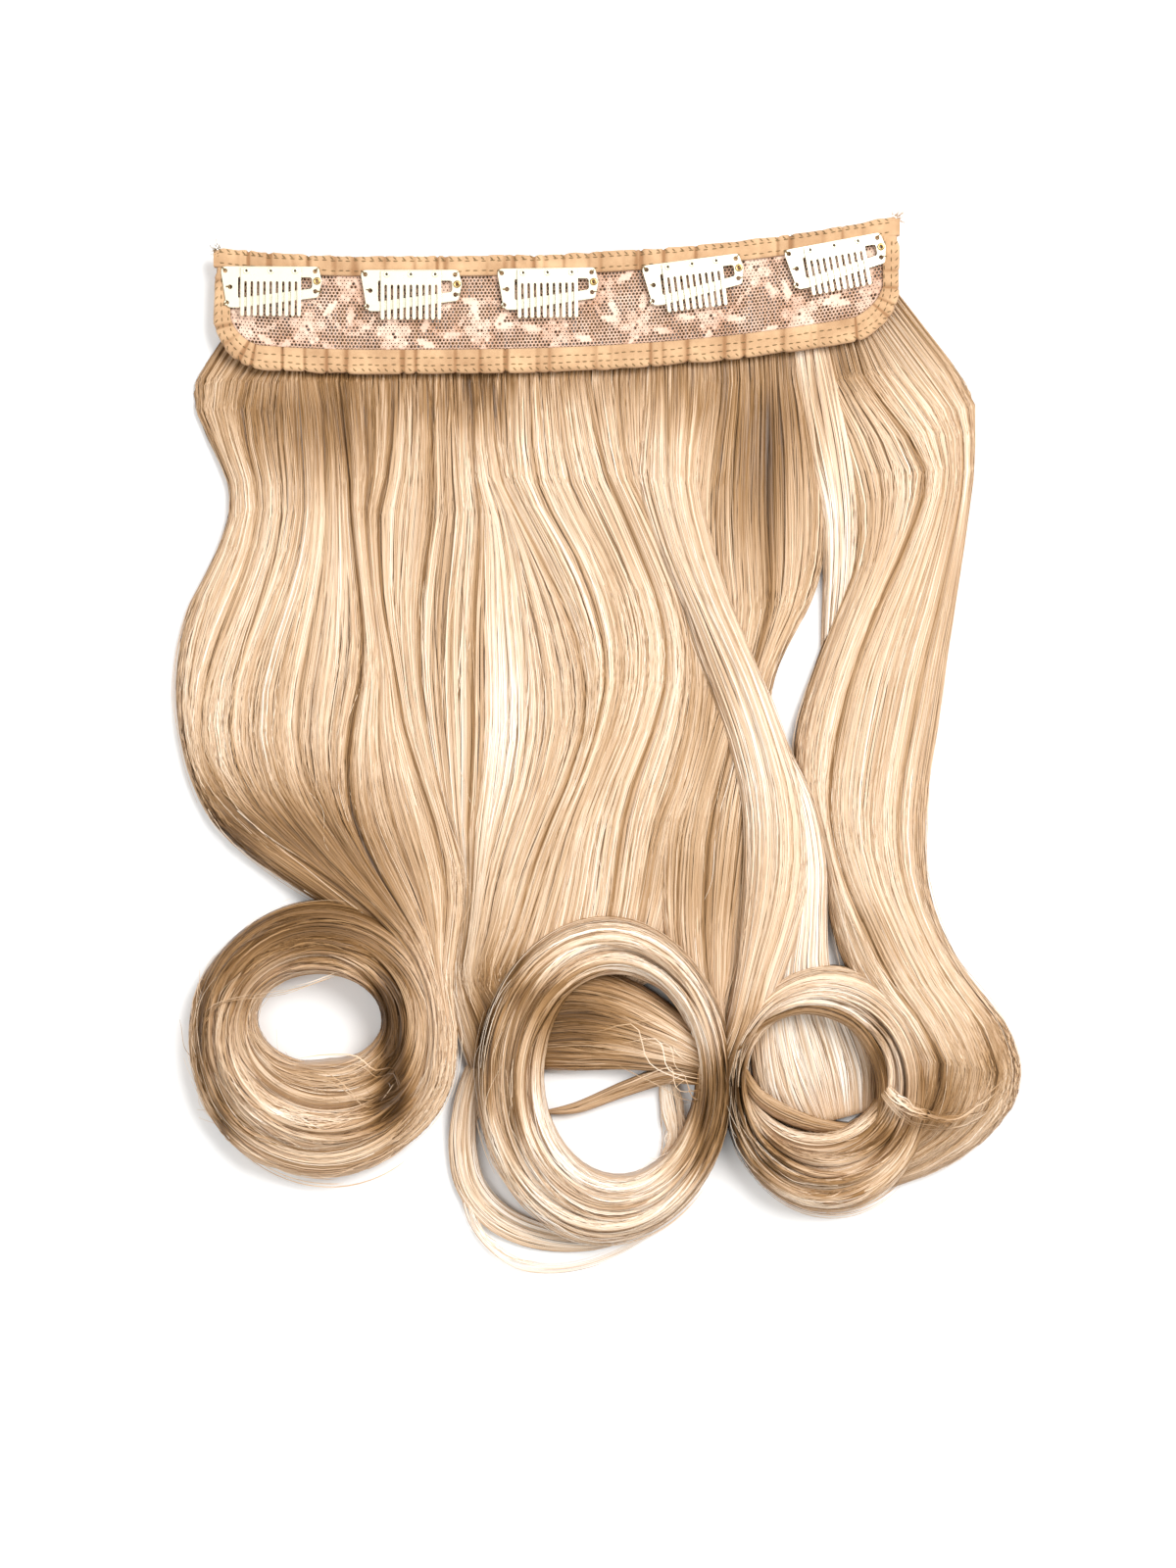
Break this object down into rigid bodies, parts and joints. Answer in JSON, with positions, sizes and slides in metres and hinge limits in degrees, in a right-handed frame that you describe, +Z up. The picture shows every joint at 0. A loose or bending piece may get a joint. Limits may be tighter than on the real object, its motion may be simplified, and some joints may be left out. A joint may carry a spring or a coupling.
{
  "type": "clip-in hair extension",
  "caption": "Clip-in hair extension: wavy hair on a curved lace band with taped edges and a row of snap clips whose combs swing open.",
  "frame": {"origin": "under the middle of the band, on the plane that the hair rests on", "axes": "+Y up the hair towards the band, +X along the band, +Z up out of the side with the clips"},
  "size_m": [0.3056, 0.3786, 0.028],
  "materials": {
    "hair": "glossy wavy blonde hair",
    "lace": "matte flesh-pink floral net lace",
    "binding": "soft tan woven tape with double stitching",
    "clip_steel": "cream lacquered spring steel",
    "eyelet_brass": "polished brass"
  },
  "bodies": {
    "band": {"hair": "hair", "lace_panel": "lace", "top_binding": "binding", "lower_binding": "binding", "clip_1_plate": "clip_steel", "clip_1_eyelet": "eyelet_brass", "clip_2_plate": "clip_steel", "clip_2_eyelet": "eyelet_brass", "clip_3_plate": "clip_steel", "clip_3_eyelet": "eyelet_brass", "clip_4_plate": "clip_steel", "clip_4_eyelet": "eyelet_brass", "clip_5_plate": "clip_steel", "clip_5_eyelet": "eyelet_brass"},
    "comb_1": {"clip_1_comb": "clip_steel"},
    "comb_2": {"clip_2_comb": "clip_steel"},
    "comb_3": {"clip_3_comb": "clip_steel"},
    "comb_4": {"clip_4_comb": "clip_steel"},
    "comb_5": {"clip_5_comb": "clip_steel"}
  },
  "joints": [
    {"name": "clip_1_snap", "type": "hinge", "parent": "band", "child": "comb_1", "pos_m": [-0.11501, 0.01698, 0.012], "axis": [-1, 0.005, 0], "range_deg": [0, 30]},
    {"name": "clip_2_snap", "type": "hinge", "parent": "band", "child": "comb_2", "pos_m": [-0.06406, 0.01564, 0.012], "axis": [-1, -0.0011, 0], "range_deg": [0, 30]},
    {"name": "clip_3_snap", "type": "hinge", "parent": "band", "child": "comb_3", "pos_m": [-0.0144, 0.01619, 0.012], "axis": [-0.9999, -0.0144, 0], "range_deg": [0, 30]},
    {"name": "clip_4_snap", "type": "hinge", "parent": "band", "child": "comb_4", "pos_m": [0.03812, 0.01804, 0.012], "axis": [-0.9916, -0.1295, 0], "range_deg": [0, 30]},
    {"name": "clip_5_snap", "type": "hinge", "parent": "band", "child": "comb_5", "pos_m": [0.08983, 0.02412, 0.012], "axis": [-0.983, -0.1835, 0], "range_deg": [0, 30]}
  ]
}
